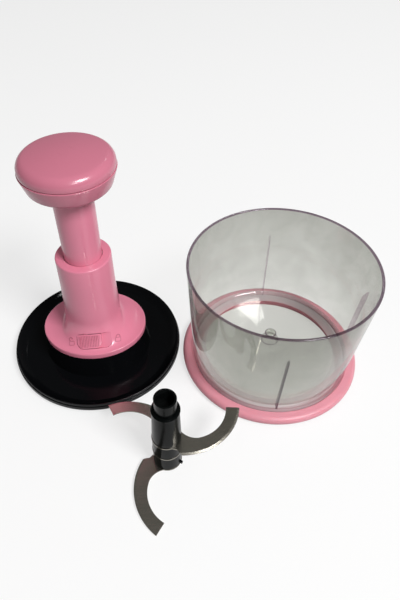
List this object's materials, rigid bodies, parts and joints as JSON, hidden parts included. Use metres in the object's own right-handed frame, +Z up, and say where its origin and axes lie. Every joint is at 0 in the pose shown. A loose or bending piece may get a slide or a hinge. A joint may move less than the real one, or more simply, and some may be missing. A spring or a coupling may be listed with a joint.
{
  "type": "food chopper",
  "caption": "Hand-pressed food chopper laid out apart: lid with plunger knob and geared drive, removable hub with sickle blades, and clear tapered bowl in a soft base ring.",
  "frame": {"origin": "on the table, under the middle of the laid-out chopper", "axes": "+X from the lid towards the bowl along the row of groups, +Y away from the blade unit, +Z up along the bowl's centre post"},
  "size_m": [0.3258, 0.2684, 0.213],
  "materials": {
    "pink_plastic": "glossy moulded ABS",
    "pink_silicone": "satin silicone",
    "clear_plastic": "clear injection-moulded",
    "lid_black": "glossy moulded",
    "cover_black": "fine matt moulded",
    "hub_black": "glossy moulded",
    "gasket_silicone": "smooth silicone",
    "blade_steel": "polished stainless, ground edge",
    "nylon": "natural moulded nylon",
    "screw_steel": "zinc plated",
    "spindle_steel": "bright drawn",
    "spring_steel": "bright wire"
  },
  "bodies": {
    "base": {"base_ring": "pink_silicone"},
    "bowl": {"bowl": "clear_plastic"},
    "lid": {"lid_plate": "lid_black", "lid_gasket": "gasket_silicone", "tower_housing": "pink_plastic", "guide_bush": "nylon", "housing_screws": "screw_steel", "spring_seat": "screw_steel", "drum_bush": "nylon", "gearbox_cover": "cover_black", "cover_screws": "screw_steel", "output_bush": "nylon", "planet_pins": "screw_steel", "return_spring": "spring_steel"},
    "plunger": {"plunger_tube": "pink_plastic", "plunger_nut": "nylon", "knob_cup": "pink_plastic", "knob_cap": "pink_plastic", "knob_screws": "screw_steel"},
    "drive": {"drive_drum": "nylon", "twisted_spindle": "spindle_steel"},
    "planet_1": {"planet_gear_1": "nylon"},
    "planet_2": {"planet_gear_2": "nylon"},
    "planet_3": {"planet_gear_3": "nylon"},
    "output": {"output_shaft": "nylon"},
    "lock": {"lock_button": "pink_plastic", "lock_tongue": "pink_plastic"},
    "blade_foot": {"foot_bush": "nylon"},
    "blades": {"hub_core": "hub_black", "drive_flat": "hub_black", "lower_spacer": "hub_black", "upper_spacer": "hub_black", "hub_sleeve": "hub_black", "lower_blade": "blade_steel", "middle_blade": "blade_steel", "upper_blade": "blade_steel"}
  },
  "joints": [
    {"name": "bowl_lift", "type": "slide", "parent": "base", "child": "bowl", "axis": [0, 0, 1], "range_m": [0, 0.15]},
    {"name": "lid_lift", "type": "slide", "parent": "base", "child": "lid", "axis": [0, 0, 1], "range_m": [0, 0.15]},
    {"name": "blade_lift", "type": "slide", "parent": "base", "child": "blade_foot", "axis": [0, 0, 1], "range_m": [0, 0.15]},
    {"name": "blade_spin", "type": "hinge", "parent": "blade_foot", "child": "blades", "pos_m": [-0.01833, -0.07164, 0.02], "axis": [0, 0, 1], "continuous": true},
    {"name": "plunger_press", "type": "slide", "parent": "lid", "child": "plunger", "axis": [0, 0, -1], "range_m": [0, 0.057], "stiffness_N_per_m": 150, "springref_m": -0.03, "deforming": ["return_spring"]},
    {"name": "spindle_spin", "type": "hinge", "parent": "lid", "child": "drive", "pos_m": [-0.0829, 0.05425, 0.02], "axis": [0, 0, 1], "range_deg": [-2, 346]},
    {"name": "planet_spin_1", "type": "hinge", "parent": "lid", "child": "planet_1", "pos_m": [-0.0649, 0.05425, 0.015], "axis": [0, 0, 1], "range_deg": [-6, 1038]},
    {"name": "planet_spin_2", "type": "hinge", "parent": "lid", "child": "planet_2", "pos_m": [-0.0919, 0.06983, 0.015], "axis": [0, 0, 1], "range_deg": [-6, 1038]},
    {"name": "planet_spin_3", "type": "hinge", "parent": "lid", "child": "planet_3", "pos_m": [-0.0919, 0.03866, 0.015], "axis": [0, 0, 1], "range_deg": [-6, 1038]},
    {"name": "output_spin", "type": "hinge", "parent": "lid", "child": "output", "pos_m": [-0.0829, 0.05425, 0.01], "axis": [0, 0, 1], "range_deg": [-1038, 6]},
    {"name": "lock_slide", "type": "slide", "parent": "lid", "child": "lock", "axis": [0.999, 0.0286, 0.0329], "range_m": [0, 0.009]}
  ],
  "couplings": [
    {"joint": "spindle_spin", "follows": "plunger_press", "rad_per_m": 104.72},
    {"joint": "planet_spin_1", "follows": "plunger_press", "rad_per_m": 314.16},
    {"joint": "planet_spin_2", "follows": "plunger_press", "rad_per_m": 314.16},
    {"joint": "planet_spin_3", "follows": "plunger_press", "rad_per_m": 314.16},
    {"joint": "output_spin", "follows": "plunger_press", "rad_per_m": -314.16}
  ]
}
